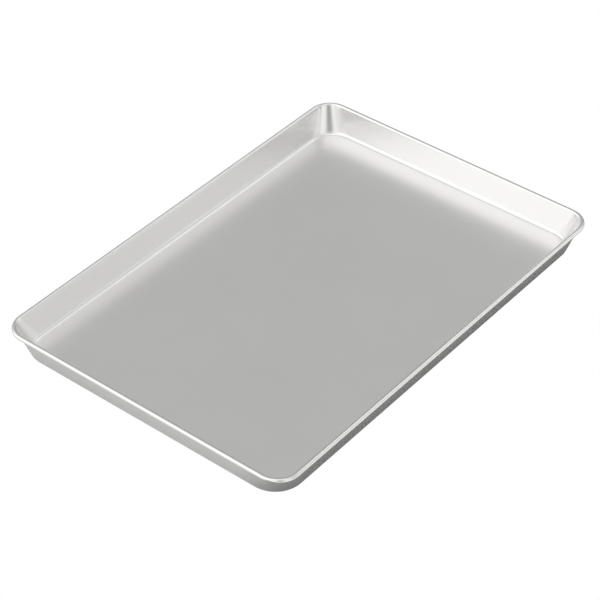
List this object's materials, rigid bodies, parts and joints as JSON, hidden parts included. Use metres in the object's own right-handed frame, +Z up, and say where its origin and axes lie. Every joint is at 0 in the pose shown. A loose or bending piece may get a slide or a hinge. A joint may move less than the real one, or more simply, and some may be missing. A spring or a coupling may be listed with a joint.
{
  "type": "jelly roll pan",
  "caption": "Shallow rectangular aluminium baking pan with flared walls, rounded corners and an edge curled over a stiffening wire.",
  "frame": {"origin": "on the underside of the base, below the middle of the pan", "axes": "+X along the pan's length, +Y across its width, +Z up out of the open side"},
  "size_m": [0.4014, 0.2744, 0.0254],
  "materials": {
    "pan_shell": "natural rolled and drawn sheet, satin",
    "rim_wire": "plain drawn wire"
  },
  "bodies": {
    "root": {"pan_shell": "pan_shell", "rim_wire": "rim_wire"}
  },
  "joints": []
}
